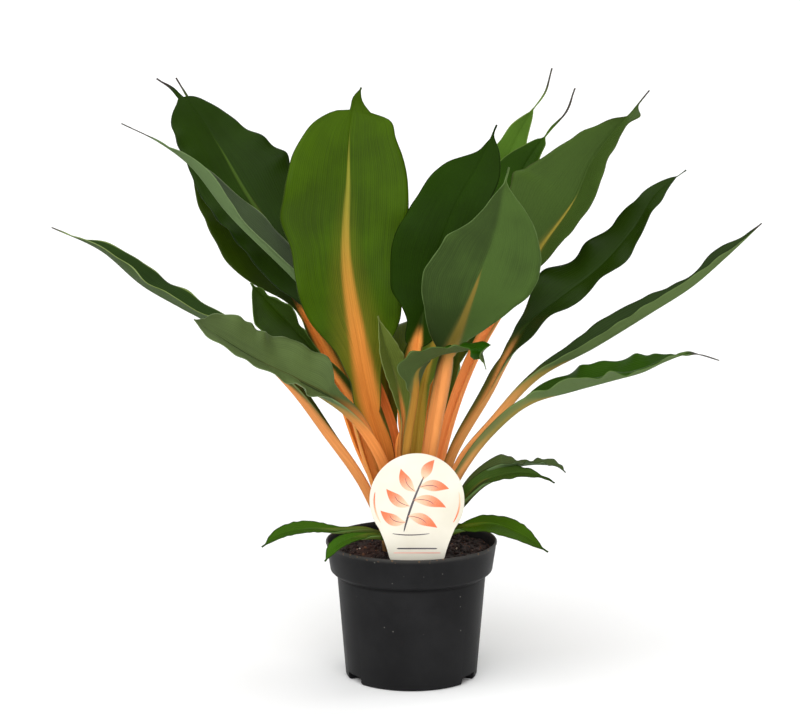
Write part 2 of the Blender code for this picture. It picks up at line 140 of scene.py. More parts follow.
def node(kind, inputs, **settings):
    """A node in the same tree as what feeds it. Its inputs are named or numbered."""
    tree = next(value.id_data for value in inputs.values() if isinstance(value, bpy.types.NodeSocket))
    made = source(tree, kind, **settings)
    for name, value in inputs.items():
        feed(made.inputs[name], value)
    return made


def calc(operation, *values):
    return node("Math", dict(enumerate(values)), operation=operation).outputs[0]


def times(first, second):
    return calc("MULTIPLY", first, second)


def split(vector):
    """The X, Y and Z of a vector."""
    return node("SeparateXYZ", {0: vector}).outputs


def ease(value, low, high, start=0.0, end=1.0):
    """A smooth step of a value, from start at low to end at high."""
    inputs = dict(enumerate((value, low, high, start, end)))
    return node("MapRange", inputs, interpolation_type="SMOOTHSTEP").outputs["Result"]


def mingle(share, first, second):
    return node("Mix", {0: share, 6: first, 7: second}, data_type="RGBA").outputs[2]


def tint(colour, mask, amount, tone):
    """Lays a tone over a colour where the mask says, and no more of it than the amount."""
    return mingle(times(mask, amount), colour, tone)


def cloud(place, scale, detail=2.0, roughness=0.5):
    inputs = {"Vector": place, "Scale": scale, "Detail": detail, "Roughness": roughness}
    return node("TexNoise", inputs).outputs["Fac"]


def new_finish(name):
    """A material and its Object coordinates."""
    finish = bpy.data.materials.new(name)
    finish.use_nodes = True
    return finish, source(finish.node_tree, "TexCoord").outputs["Object"]


def dress(finish, colour, roughness, relief=None, depth=0.0, sheen=0.5):
    """Gives a finish its colour, roughness and sheen, and any relief, 0 to 1, a depth in metres."""
    shader = finish.node_tree.nodes["Principled BSDF"]
    feed(shader.inputs["Base Color"], colour)
    feed(shader.inputs["Roughness"], roughness)
    shader.inputs["Specular IOR Level"].default_value = sheen
    if relief is not None:
        bump = node("Bump", {"Height": relief, "Distance": depth})
        feed(shader.inputs["Normal"], bump.outputs["Normal"])
    return finish


def new_group(name, inputs, outputs):
    """An empty node group with its sockets, each named with its kind, and its two open ends."""
    group = bpy.data.node_groups.new(name, "ShaderNodeTree")
    for way, sockets in (("INPUT", inputs), ("OUTPUT", outputs)):
        for socket, kind in sockets.items():
            group.interface.new_socket(socket, in_out=way, socket_type="NodeSocket" + kind)
    return group, group.nodes.new("NodeGroupInput").outputs, group.nodes.new("NodeGroupOutput").inputs


def build_specks():
    """A node group: a mask of small scattered specks, one in some of the cells of a cell pattern."""
    settings = {"Place": "Vector", "Scale": "Float", "Size": "Float", "Share": "Float"}
    group, given, result = new_group("scattered_specks", settings, {"Mask": "Float"})
    cells = node("TexVoronoi", {"Vector": given["Place"], "Scale": given["Scale"]})
    dot = ease(cells.outputs["Distance"], given["Size"], times(given["Size"], 0.6))
    chance = node("SeparateColor", {0: cells.outputs["Color"]}).outputs[0]
    chosen = calc("LESS_THAN", chance, given["Share"])
    feed(result["Mask"], times(dot, chosen))
    return group


scattered_specks = build_specks()


def specks(place, scale, size, share):
    inputs = {"Place": place, "Scale": scale, "Size": size, "Share": share}
    return node("Group", inputs, node_tree=scattered_specks).outputs["Mask"]


def pot_finish():
    """Black plastic with a fine moulded grain, faint scuffs, crumbs of peat on its lip, a painted highlight
    on the lip and painted shade in the crease.
    """
    finish, place = new_finish("black_polypropylene")
    height = split(place)["Z"]
    haze = cloud(place, 26.0, 4.0, 0.6)
    colour = mingle(ease(haze, 0.35, 0.75), paint(20, 20, 21), paint(29, 29, 30))
    # Painted shade: the crease under the rim band is tinted nearly black.
    crease_painted_shade = times(ease(height, 0.0708, 0.0724), ease(height, 0.0736, 0.0752, 1.0, 0.0))
    colour = tint(colour, crease_painted_shade, 0.75, paint(12, 12, 13))
    lip = ease(height, 0.0935, 0.0965)
    # Painted highlight: the lip is tinted a lighter grey.
    colour = tint(colour, lip, 0.25, paint(96, 94, 90))
    crumbs = times(specks(place, 420.0, 0.42, 0.45), lip)
    colour = tint(colour, crumbs, 0.8, paint(96, 74, 54))
    colour = tint(colour, specks(place, 150.0, 0.1, 0.25), 0.4, paint(120, 118, 112))
    gloss = ease(haze, 0.3, 0.8, 0.44, 0.6)
    return dress(finish, colour, gloss, cloud(place, 1500.0), 0.00006, sheen=0.1)


pot = turn_rings("nursery_pot", pot_rings, 144)
for notch_angle in (-30, 90, 210):
    turn = math.radians(notch_angle)
    centre = (foot_radius * MM * math.cos(turn), foot_radius * MM * math.sin(turn), notch_middle * MM)
    bpy.ops.mesh.primitive_cube_add(size=1, location=centre, rotation=(0, 0, turn),
                                    scale=(notch_deep * MM, notch_wide * MM, notch_high * MM))
    notch = bpy.context.object
    bpy.ops.object.transform_apply(location=True, rotation=True, scale=True)
    edit(notch)
    bpy.ops.mesh.bevel(offset=notch_rounding * MM, segments=3)
    close()
    cut_away(pot, notch)
edit(pot)
bpy.ops.mesh.remove_doubles(threshold=0.00001)
close()
bpy.ops.object.shade_smooth_by_angle(angle=math.radians(32))
pot.data.materials.append(pot_finish())
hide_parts("pot")
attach(pot, "root")


# Peat: the fill is its own solid, seen through the drain notches. On top lies a loose crumbly crust
# that hides the crown and closes round the stalks, with lumps of peat and bark and a few pale grains.
peat_level = 90.1
crust_radius = 57.3
crust_thickness = 1.6
strewn_radius = 56.0


def peat_finish():
    finish, place = new_finish("moist_peat")
    lumps = cloud(place, 260.0, 5.0, 0.7)
    patches = cloud(place, 45.0)
    colour = mingle(ease(lumps, 0.38, 0.68), paint(18, 10, 9), paint(52, 31, 26))
    colour = mingle(ease(patches, 0.45, 0.7, 0.0, 0.4), colour, paint(72, 42, 34))
    colour = mingle(specks(place, 420.0, 0.3, 0.07), colour, paint(164, 132, 112))
    return dress(finish, colour, ease(lumps, 0.4, 0.8, 0.95, 0.6), cloud(place, 420.0, 6.0, 0.7), 0.0009)


def peat_height(x, y):
    """Height of the crust over a point of the pot's mouth, in metres."""
    radius = math.hypot(x, y)
    swell = noise.noise(Vector((x, y, 89 * MM)) / (7 * MM))
    grain = noise.noise(Vector((x, y, 0.3)) / (2.4 * MM))
    heap = 1.6 * math.exp(-(radius / 0.03) ** 2) - 0.9 * (radius / 0.0575) ** 6
    return (peat_level + heap + 1.5 * swell + 0.7 * grain) * MM


peat = peat_finish()
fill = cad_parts["soil"]
fill.data.materials.clear()
fill.data.materials.append(peat)
bpy.ops.mesh.primitive_grid_add(x_subdivisions=120, y_subdivisions=120, size=2)
crust = just_added("peat_crust")
for vertex in crust.data.vertices:
    x, y = vertex.co.x, vertex.co.y
    vertex.co.x = crust_radius * MM * x * math.sqrt(1 - y * y / 2)
    vertex.co.y = crust_radius * MM * y * math.sqrt(1 - x * x / 2)
    vertex.co.z = peat_height(vertex.co.x, vertex.co.y)
thicken = crust.modifiers.new("Body", "SOLIDIFY")
thicken.thickness = crust_thickness * MM
thicken.offset = -1
finish_modifiers(crust)
bpy.ops.object.shade_smooth()
crust.data.materials.append(peat)
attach(crust, "root")

# Both sources of chance start from a fixed number, so that every run strews the same grains
dice = random.Random(7)
noise.seed_set(7)


def scatter(name, count, small, large, finish):
    """Loose grains strewn over the crust, each squashed, turned and roughened in its own way."""
    bpy.ops.mesh.primitive_ico_sphere_add(subdivisions=1, radius=MM)
    grains = just_added(name)
    edit(grains)
    bpy.ops.mesh.delete(type="VERT")
    for _ in range(count):
        angle = dice.uniform(0, 2 * math.pi)
        reach = strewn_radius * MM * math.sqrt(dice.uniform(0.02, 0.98))
        x, y = reach * math.cos(angle), reach * math.sin(angle)
        size = dice.uniform(small, large) * dice.uniform(0.7, 1.0)
        bpy.ops.mesh.primitive_ico_sphere_add(
            subdivisions=1, radius=size * MM, location=(x, y, peat_height(x, y) + size * 0.25 * MM),
            rotation=[dice.uniform(0, 6.3) for _ in "xyz"], scale=[dice.uniform(0.55, 1.2) for _ in "xyz"])
    close()
    for vertex in grains.data.vertices:
        vertex.co += noise.noise_vector(vertex.co / (1.3 * MM)) * small * 0.45 * MM
    bpy.ops.object.shade_smooth_by_angle(angle=math.radians(50))
    grains.data.materials.append(finish)
    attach(grains, "root")


def grain_finish(name, dark, light):
    finish, place = new_finish(name)
    colour = mingle(ease(cloud(place, 300.0, 4.0, 0.6), 0.35, 0.7), dark, light)
    return dress(finish, colour, 0.85, cloud(place, 900.0, 3.0), 0.0003)


bark = grain_finish("brown_bark", paint(58, 34, 24), paint(112, 74, 52))
perlite = grain_finish("pale_perlite", paint(176, 164, 148), paint(214, 206, 192))
scatter("peat_lumps", 420, 0.9, 2.4, peat)
scatter("bark_crumbs", 90, 0.7, 1.5, bark)
scatter("pale_grains", 22, 0.6, 1.1, perlite)


# Crown: the short stem that carries every leaf, with thick fleshy roots below. It stands in a plain
# hole in the peat and is hidden by the crust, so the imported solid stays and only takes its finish.
def root_finish():
    finish, place = new_finish("fleshy_root")
    stretched = node("Mapping", {"Vector": place, "Scale": (1, 1, 0.12)}).outputs["Vector"]
    fibres = cloud(stretched, 420.0, 3.0)
    colour = mingle(ease(fibres, 0.35, 0.7), paint(168, 136, 92), paint(214, 190, 148))
    return dress(finish, colour, 0.6, fibres, 0.0004)


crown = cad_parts["crown"]
crown.data.materials.clear()
crown.data.materials.append(root_finish())


# Plant label: a round-headed tag punched from thin white plastic sheet, pushed into the peat close
# to the front of the pot, leaning back a little. Its print is flat ink in orange and dark grey.
head_centre = Vector((3.6, -41.0, 134.6)) * MM
label_lean = math.radians(4)
label_up = Vector((0, math.sin(label_lean), math.cos(label_lean)))
label_front = Vector((0, -math.cos(label_lean), math.sin(label_lean)))
label_thickness = 0.8
label_rounding = 0.16
head_radius = 32.5
stake_top_half = 26.0


def on_label(x, y, lift):
    """A point x to the right of the head's centre, y above it and lift before the sheet's middle."""
    return head_centre + (Vector((x, 0, 0)) + label_up * y + label_front * lift) * MM


def label_edge():
    """Right half of the label's outline from the top of its head down to the stake's point."""
    join = math.pi - math.asin(stake_top_half / head_radius)
    turns = [join * step / 40 for step in range(41)]
    head = [(head_radius * math.sin(turn), head_radius * math.cos(turn)) for turn in turns]
    shoulder = head[-1][1]
    sides = [(23.5, shoulder - 6), (21.8, shoulder - 10.5), (20.3, shoulder - 15), (19.0, shoulder - 20)]
    return head + sides + [(9.0, -57.5), (0.0, -67.5)]


right_edge = label_edge()
whole_edge = right_edge + [(-x, y) for x, y in reversed(right_edge[1:-1])]
bpy.ops.mesh.primitive_circle_add(vertices=len(whole_edge), radius=1, fill_type="NGON")
label = just_added("round_headed_label")
for vertex, (x, y) in zip(label.data.vertices, whole_edge):
    vertex.co = (x * MM, y * MM, 0)
edit(label)
bpy.ops.mesh.extrude_region_move(TRANSFORM_OT_translate={"value": (0, 0, label_thickness * MM)})
bpy.ops.mesh.select_all(action="SELECT")
bpy.ops.mesh.normals_make_consistent(inside=False)
close()
rounding = label.modifiers.new("Soft edge", "BEVEL")
rounding.width = label_rounding * MM
rounding.segments = 2
rounding.limit_method = "ANGLE"
rounding.angle_limit = math.radians(50)
finish_modifiers(label)
for vertex in label.data.vertices:
    x, y, lift = vertex.co / MM
    vertex.co = on_label(x, y, lift - label_thickness / 2)
bpy.ops.object.shade_smooth_by_angle(angle=math.radians(35))


def sheet_finish():
    """White plastic, a little cloudy, with a damp brown stain where it enters the peat."""
    finish, place = new_finish("white_plastic_sheet")
    clouds = cloud(place, 40.0, 3.0)
    colour = mingle(ease(clouds, 0.3, 0.75), paint(224, 219, 204), paint(216, 210, 192))
    damp = ease(split(place)["Z"], 0.0945, 0.089, 0.0, 0.55)
    colour = tint(colour, damp, ease(clouds, 0.3, 0.6), paint(150, 120, 96))
    return dress(finish, colour, ease(clouds, 0.3, 0.8, 0.34, 0.46), cloud(place, 700.0), 0.00003)


label.data.materials.append(sheet_finish())
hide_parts("plant_label")
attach(label, "root")

ink_lift = 0.03
ink_thickness = 0.05
arc_radius = 29.2


def ink(name, start, end):
    """Flat ink that changes from one tone to another along a stroke."""
    finish, place = new_finish(name)
    dots = cloud(place, 1600.0, 1.0)
    along = split(source(finish.node_tree, "TexCoord").outputs["UV"])["Y"]
    along = calc("ADD", along, times(calc("SUBTRACT", dots, 0.5), 0.3))
    return dress(finish, mingle(ease(along, 0.05, 0.9), start, end), 0.42)


orange_ink = ink("orange_ink", paint(250, 196, 164), paint(233, 108, 62))
dark_ink = ink("dark_ink", paint(62, 54, 58), paint(86, 78, 82))
rose_ink = ink("rose_ink", paint(236, 176, 160), paint(222, 150, 136))


def stroke(name, inks, spine, half_width, fullness=1.0, lift=ink_lift):
    """One printed stroke along a curved line on the label, widest at its middle."""
    bpy.ops.mesh.primitive_grid_add(x_subdivisions=2, y_subdivisions=28, size=2)
    shape = just_added(name)
    foot, mid, tip = np.array(spine, float)
    for vertex in shape.data.vertices:
        along = (vertex.co.y + 1) / 2
        x, y = (1 - along) ** 2 * foot + 2 * along * (1 - along) * mid + along ** 2 * tip
        ahead = Vector((1 - along) * (mid - foot) + along * (tip - mid)).normalized()
        wide = half_width * max(math.sin(math.pi * along), 0.0) ** fullness * vertex.co.x
        vertex.co = on_label(x + ahead.y * wide, y - ahead.x * wide, label_thickness / 2 + lift)
    shape.data.materials.append(inks)
    return shape


printed = [
    stroke("stem", dark_ink, ((-9, -22), (-5, -4), (5, 17)), 0.75, 0.3),
    stroke("top_leaflet", orange_ink, ((4.5, 14), (5, 21), (12, 28)), 3.6),
    stroke("ground_line", dark_ink, ((-17, -23), (-6, -25), (9, -23)), 0.4, 0.3),
    stroke("foot_rule", dark_ink, ((-14, -33.4), (0, -33.4), (14, -33.4)), 0.5, 0.05),
    stroke("foot_band", rose_ink, ((-16.5, -36.4), (0, -36.4), (16.5, -36.4)), 0.35, 0.05),
]
for foot, mid, tip in (
    ((-7.6, -15), (-17, -16), (-25, -7)), ((-6.4, -11), (3, -11), (14, -19)),
    ((-4.8, -4), (-14, -2), (-21, 8)), ((-3.2, 0), (8, 2), (20, -5)),
    ((-0.8, 6), (-9, 11), (-11, 22)), ((1.4, 9), (11, 12), (22, 8)),
):
    vein_tip = (foot[0] * 0.35 + tip[0] * 0.65, foot[1] * 0.35 + tip[1] * 0.65)
    printed.append(stroke("leaflet", orange_ink, (foot, mid, tip), 3.9))
    printed.append(stroke("leaflet_vein", dark_ink, (foot, mid, vein_tip), 0.22, 0.4, 2 * ink_lift))
for start, end in ((212, 168), (12, -32)):
    bow = arc_radius / math.cos(math.radians(end - start) / 2)
    arc = [(reach * math.cos(math.radians(angle)), reach * math.sin(math.radians(angle)))
           for reach, angle in ((arc_radius, start), (bow, (start + end) / 2), (arc_radius, end))]
    printed.append(stroke("side_arc", orange_ink, arc, 0.6, 0.4))
bpy.ops.object.select_all(action="DESELECT")
for shape in printed:
    shape.select_set(True)
bpy.context.view_layer.objects.active = printed[0]
bpy.ops.object.join()
label_print = just_added("label_print")
edit(label_print)
bpy.ops.mesh.remove_doubles(threshold=0.002 * MM)
close()
film = label_print.modifiers.new("Ink film", "SOLIDIFY")
film.thickness = ink_thickness * MM
film.offset = -1
finish_modifiers(label_print)
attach(label_print, "root")


# Leaves: every one rises from the crown on an orange stalk, channelled on its inner side, that runs
# on up the blade as its midrib. The blade is soft tissue with close parallel veins; its upper side is
# glossy, its underside dull and grey. Each is a grid laid along the leaf's spine and given thickness.
def add(first, second):
    return calc("ADD", first, second)


def less(first, second):
    return calc("SUBTRACT", first, second)


def build_leaf_skin():
    """A node group: leaf colour, roughness and relief, from the place on the leaf in millimetres: how
    far across it, how far along it, and the share from its foot, -1, over its neck, 0, to its tip, 1."""
    tones = ("Green", "Light", "Flush", "Rib", "Rib Dark", "Rib Light", "Rib End", "Edge")
    numbers = ("Rib Width", "Rib Reach", "Rib Lean", "Turn Start", "Turn End", "Stalk Spread",
               "Flush Width", "Veins", "Vein Count", "Painted Half Shade", "Roughness", "Tip")
    group, given, result = new_group(
        "leaf_skin", {**dict.fromkeys(tones, "Color"), **dict.fromkeys(numbers, "Float")},
        {"Color": "Color", "Roughness": "Float", "Height": "Float"})

    def stretched(x, y, detail, roughness):
        """A cloudy pattern drawn out along the leaf, from a place across it and one along it."""
        return cloud(node("CombineXYZ", {"X": x, "Y": y}).outputs[0], 1.0, detail, roughness)

    across, along, share = split(source(group, "Attribute", attribute_name="leaf_place").outputs["Vector"])
    reach = source(group, "Attribute", attribute_name="leaf_reach").outputs["Fac"]
    lean = times(given["Rib Lean"], ease(share, 0.12, -0.15))
    away = calc("ABSOLUTE", less(across, lean))
    part = calc("DIVIDE", across, calc("MAXIMUM", reach, 0.5))

    # Veins keep their place between midrib and margin, so they bow out and close again at the tip
    uneven = stretched(times(part, 42.0), times(along, 0.011), 2.0, 0.65)
    lines = calc("SINE", add(times(part, given["Vein Count"]), times(uneven, 5.0)))
    vein = add(times(uneven, 0.7), add(times(lines, 0.13), 0.15))
    streak = stretched(times(across, 1.1), times(along, 0.02), 3.0, 0.6)
    patch = cloud(source(group, "TexCoord").outputs["Object"], 24.0, 3.0)
    tissue = add(times(less(vein, 0.5), given["Veins"]), 0.5)
    tissue = add(tissue, times(less(patch, 0.5), 1.6))
    # Painted light and shade: one half of the blade is made lighter and the other darker.
    tissue = add(tissue, times(given["Painted Half Shade"], ease(across, -2.5, 2.5, -1.0, 1.0)))
    colour = mingle(ease(tissue, 0.0, 1.0), given["Green"], given["Light"])

    # The midrib is as wide as the stalk at the neck and narrows to a line; below it only wings are green
    climb = calc("MINIMUM", calc("MAXIMUM", calc("DIVIDE", share, given["Rib Reach"]), 0.0), 1.0)
    narrow = calc("POWER", less(1.0, climb), 1.7)
    below = times(calc("MAXIMUM", times(share, -1.0), 0.0), given["Stalk Spread"])
    thread = ease(climb, 1.0, 0.7, 0.0, 0.8)
    rib = add(add(times(given["Rib Width"], narrow), thread), below)
    ragged = add(away, times(times(less(vein, 0.5), rib), 0.9))
    flush_end = add(times(rib, 1.2), times(given["Flush Width"], less(1.0, climb)))
    flush = times(ease(ragged, times(rib, 0.7), flush_end, 1.0, 0.0), ease(climb, 0.15, 0.9, 1.0, 0.0))
    flush = times(flush, ease(vein, 0.3, 0.65, 0.35, 1.0))
    colour = mingle(flush, colour, given["Flush"])
    rib_tone = mingle(ease(streak, 0.55, 0.25, 0.0, 0.3), given["Rib"], given["Rib Dark"])
    rib_tone = mingle(ease(streak, 0.5, 0.75, 0.0, 0.4), rib_tone, given["Rib Light"])
    rib_tone = mingle(ease(share, given["Turn Start"], given["Turn End"]), rib_tone, given["Rib End"])
    rib_mask = ease(ragged, times(rib, 0.45), add(times(rib, 1.35), 0.3), 1.0, 0.0)
    colour = mingle(times(rib_mask, ease(climb, 0.8, 1.0, 1.0, 0.0)), colour, rib_tone)

    # The margin's thin line, the pale foot stained by the peat, and the dry tip
    margin = ease(less(reach, calc("ABSOLUTE", across)), 0.15, 0.85, 1.0, 0.0)
    colour = tint(colour, times(margin, ease(share, -0.25, 0.05)), 0.75, given["Edge"])
    colour = mingle(ease(share, -0.8, -0.92, 0.0, 0.7), colour, paint(222, 176, 112))
    colour = mingle(ease(share, -0.88, -0.95, 0.0, 0.85), colour, paint(64, 40, 28))
    colour = mingle(ease(share, given["Tip"], add(given["Tip"], 0.05), 0.0, 0.9), colour, paint(66, 56, 56))
    feed(result["Color"], colour)
    feed(result["Roughness"], add(given["Roughness"], times(less(patch, 0.5), 0.16)))
    furrow = ease(away, 0.0, 1.6, -1.2, 0.0)
    feed(result["Height"], add(vein, times(furrow, ease(share, -0.2, 0.0))))
    return group


leaf_skin = build_leaf_skin()


def skin_finish(name, dusty, sheen, tones, **numbers):
    """One side of a leaf: its skin, with pale specks where it is dusty."""
    finish, place = new_finish(name)
    skin = source(finish.node_tree, "Group", node_tree=leaf_skin)
    settings = {part: paint(*tone) for part, tone in tones.items()} | numbers
    for setting, value in settings.items():
        skin.inputs[setting.replace("_", " ").title()].default_value = value
    colour = skin.outputs["Color"]
    if dusty:
        colour = mingle(specks(place, 75.0, 0.06, dusty), colour, paint(176, 190, 160))
    return dress(finish, colour, skin.outputs["Roughness"], skin.outputs["Height"], 0.00022, sheen)


def smooth_line(points, steps=14):
    """Dense points on a smooth curve through the given ones, and the length up to each given one."""
    points = np.array(points, float)
    spans = np.linalg.norm(np.diff(points, axis=0), axis=1)
    slopes = np.gradient(points, np.concatenate(([0.0], np.cumsum(spans))), axis=0)
    line = [points[0]]
    for start, span in enumerate(spans):
        for share in (np.arange(steps) + 1) / steps:
            near, far = points[start], points[start + 1]
            turn = share * share * (3 - 2 * share)
            leave = share * (1 - share) ** 2 * span
            arrive = share * share * (share - 1) * span
            line.append(near + (far - near) * turn + slopes[start] * leave + slopes[start + 1] * arrive)
    line = np.array(line)
    lengths = np.concatenate(([0.0], np.cumsum(np.linalg.norm(np.diff(line, axis=0), axis=1))))
    return line, lengths, lengths[::steps]


def units(vectors):
    return vectors / np.linalg.norm(vectors, axis=1, keepdims=True)


def margin_shape(steps, share):
    """How far a margin stands out and up from the plain outline, in mm, from (share, out, up) steps.
    A step may leave out its up. A margin whose first step is on the blade starts just below the neck."""
    start = -0.05 if not steps or steps[0][0] > 0 else -1
    steps = np.array([(*step, 0)[:3] for step in ((start, 0), *steps, (1, 0))], float)
    kernel = np.hanning(9)[1:-1]
    kernel = kernel / kernel.sum()
    shaped = []
    for column in (1, 2):
        bent = np.interp(share, steps[:, 0], steps[:, column])
        shaped.append(np.convolve(np.pad(bent, 3, mode="edge"), kernel, mode="valid"))
    return shaped


def toned(tone, strength, more=0):
    return [min(value * strength + more, 255) for value in tone]


ORANGE = (250, 162, 80)
OCHRE = (196, 146, 62)
LIME = (150, 166, 66)
foot_height = 87.5
foot_rise = 7
stalk_rows = 0.28
midrib_thickness, edge_thickness, full_thickness = 3.4, 0.4, 5


def grow_leaf(name, ring, angle, stalk, blade, width, faces, upper, under, stalk_width=11.0,
              foot_width=6.6, base_power=1.0, tip_power=1.0, tail=0.05, point=0.0, fold=16.0, roll=0.0,
              wave=0.0, waves=3.0, frill=0.5, frills=9.0, lighter=1.28, rib=ORANGE, rib_width=2.4,
              rib_reach=0.2, rib_lean=0.0, rib_end=LIME, turn_tone=None, spread=14.0, flush=7.0,
              edge=None, under_edge=None, gloss=0.38, sheen=0.05, veins=0.9, painted_half_shade=0.0, dusty=0.0,
              left=(), right=()):
    """One leaf. Its foot stands on a ring of the crown at an angle, the stalk's last point is its neck,
    and its upper side turns to where the blade faces. left and right reshape the margins, as seen from
    above. fold and roll are in degrees, wave and frill in millimetres, with as many of each along the
    blade as waves and frills say. tail, rib_reach and turn_tone are shares of the blade."""
    turn = math.radians(angle)
    outward = np.array((math.cos(turn), math.sin(turn), 0.0))
    foot = outward * ring + (0, 0, foot_height)
    line, lengths, marks = smooth_line((foot, foot + (0, 0, foot_rise), *stalk, *blade))
    neck, total = marks[1 + len(stalk)], lengths[-1]
    rows, columns = (150, 28) if width > 30 else (110, 18)
    rise = np.linspace(0, 1, rows + 1)
    blade_rise = (rise - stalk_rows) / (1 - stalk_rows)
    at_row = np.where(rise < stalk_rows, neck * rise / stalk_rows, neck + (total - neck) * blade_rise)

    def spine(length):
        return np.stack([np.interp(length, lengths, line[:, axis]) for axis in range(3)], axis=1)

    # Which way the leaf runs and faces at each row
    ahead = spine(np.minimum(at_row + 4, total)) - spine(np.maximum(at_row - 4, 0))
    ahead[at_row < 1] = (0, 0, 1)
    ahead = units(ahead)
    turned = np.clip((at_row / neck - 0.15) / 0.85, 0, 1)[:, None]
    facing = -outward * (1 - turned) + np.array(faces) / np.linalg.norm(faces) * turned
    upward = units(facing - ahead * (facing * ahead).sum(axis=1, keepdims=True))
    side = np.cross(ahead, upward)
    rolled = np.radians(roll * turned)
    upward = upward * np.cos(rolled) + side * np.sin(rolled)
    side = np.cross(ahead, upward)

    # Half width at each row
    share = np.clip((at_row - neck) / (total - neck), 0, 1)
    peak = base_power / (base_power + tip_power)
    body = np.minimum(share / (1 - tail), 1)
    outline = body ** base_power * (1 - body) ** tip_power / (peak ** base_power * (1 - peak) ** tip_power)
    opening = np.minimum(at_row / (0.9 * neck), 1)
    slim = min(foot_width, stalk_width)
    stem = slim + (stalk_width - slim) * opening ** 2 * (3 - 2 * opening)
    stem = stem * (1 - share) + (1.1 - 0.5 * share) * share
    half = stem / 2 + np.maximum(width / 2 - stem / 2, 0) * outline
    half = np.maximum(half, point * np.clip((1 - share) / tail, 0, 1) ** 1.25 * (share > 0.5))
    along = np.where(at_row < neck, at_row / neck - 1, share)
    left_out, left_up = margin_shape(left, along)
    right_out, right_up = margin_shape(right, along)

    # Columns stand closer together near the midrib
    cells = np.linspace(-1, 1, columns + 1)
    over = np.sign(cells) * np.abs(cells) ** 1.35
    far = np.abs(over)[None, :]
    on_right = (over > 0)[None, :]
    s = share[:, None]
    bend = np.minimum(4 * s, 1)
    bend = np.radians(fold * bend + 40 * (1 - s) ** 4 * (1 - bend))
    swell = np.sin(math.pi * s) ** 0.7
    lift = wave * np.sin(2 * math.pi * waves * s + 1.9 * on_right) * far ** 1.5 * swell
    uneven = frill * (0.55 + 0.45 * np.sin(17.3 * s + 2.6 * on_right + width)) * swell
    ripple = 2 * math.pi * frills * s + ring
    lift = lift + np.sin(ripple + 2.4 * on_right) * uneven * far ** 4
    lift = lift + np.where(on_right, right_up[:, None], left_up[:, None]) * far ** 2
    breadth = np.maximum(half[:, None] + np.where(on_right, right_out[:, None], left_out[:, None]), 0.6)
    reach = breadth * far + 0.35 * np.cos(ripple + 1.1 * on_right) * uneven * far ** 3
    signed = np.sign(over)[None, :] * reach
    points = spine(at_row)[:, None, :] + side[:, None, :] * (signed * np.cos(bend))[..., None]
    points = points + upward[:, None, :] * (reach * np.sin(bend) + lift)[..., None]
    fading = (1 - share) ** 1.5
    rib_thickness = midrib_thickness * fading + edge_thickness * (1 - fading)
    rib_thickness = np.clip(rib_thickness, edge_thickness, midrib_thickness * stalk_width / 9)[:, None]
    thickness = edge_thickness + (rib_thickness - edge_thickness) * (1 - far) ** (0.6 + 2 * s)

    bpy.ops.mesh.primitive_grid_add(x_subdivisions=columns, y_subdivisions=rows, size=2)
    leaf = just_added(name + "_leaf")
    flat = np.empty(len(leaf.data.vertices) * 3)
    leaf.data.vertices.foreach_get("co", flat)
    flat = flat.reshape(-1, 3)
    column = np.rint((flat[:, 0] + 1) / 2 * columns).astype(int)
    row = np.rint((flat[:, 1] + 1) / 2 * rows).astype(int)
    leaf.data.vertices.foreach_set("co", (points[row, column] * MM).ravel())
    place = leaf.data.attributes.new("leaf_place", "FLOAT_VECTOR", "POINT")
    spots = np.stack([signed[row, column], at_row[row], along[row]], axis=1)
    place.data.foreach_set("vector", spots.ravel())
    widths = leaf.data.attributes.new("leaf_reach", "FLOAT", "POINT")
    widths.data.foreach_set("value", breadth[row, column])
    thick = leaf.vertex_groups.new(name="thickness")
    for index, value in enumerate(thickness[row, column]):
        thick.add([index], value / full_thickness, "REPLACE")
    shell = leaf.modifiers.new("Tissue", "SOLIDIFY")
    shell.thickness = full_thickness * MM
    shell.offset = -1
    shell.vertex_group = thick.name
    shell.material_offset = 1

    # The upper side is glossy and the underside dull: Solidify gives that the second material
    turn_start, turn_end = turn_tone or (0.12 * rib_reach, 0.62 * rib_reach)
    drawn_out = tail > 0.07 and not point
    rib_looks = dict(rib_reach=rib_reach, rib_width=rib_width, stalk_spread=spread,
                     veins=veins, rib_lean=rib_lean, vein_count=width * 2.1, painted_half_shade=painted_half_shade,
                     turn_start=turn_start, turn_end=turn_end, tip=1 - tail * 0.75 if drawn_out else 0.985)
    under_rib_end = [(value + tone) / 2 for value, tone in zip(under, OCHRE)]
    for sort, tissue, strength, warm, end_tone, margin, band, dullness, shine in (
        ("_upper_side", upper, lighter, (226, 168, 70), rib_end, edge or toned(upper, 0.62), flush,
         gloss, sheen),
        ("_underside", under, 0.4 + 0.6 * lighter, (216, 160, 84), under_rib_end,
         under_edge or toned(under, 1.3), flush * 0.6, gloss + 0.16, sheen * 0.8),
    ):
        tones = dict(green=tissue, light=toned(tissue, strength), rib=rib, rib_dark=toned(rib, 0.8),
                     flush=[(value * 2 + warmth) / 3 for value, warmth in zip(tissue, warm)],
                     rib_light=toned(rib, 1.12, 14), rib_end=end_tone, edge=margin)
        leaf.data.materials.append(skin_finish(name + sort, dusty, shine, tones, flush_width=band,
                                               roughness=dullness, **rib_looks))
    finish_modifiers(leaf)
    bpy.ops.object.shade_smooth()
    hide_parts("leaf_" + name)
    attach(leaf, "root")


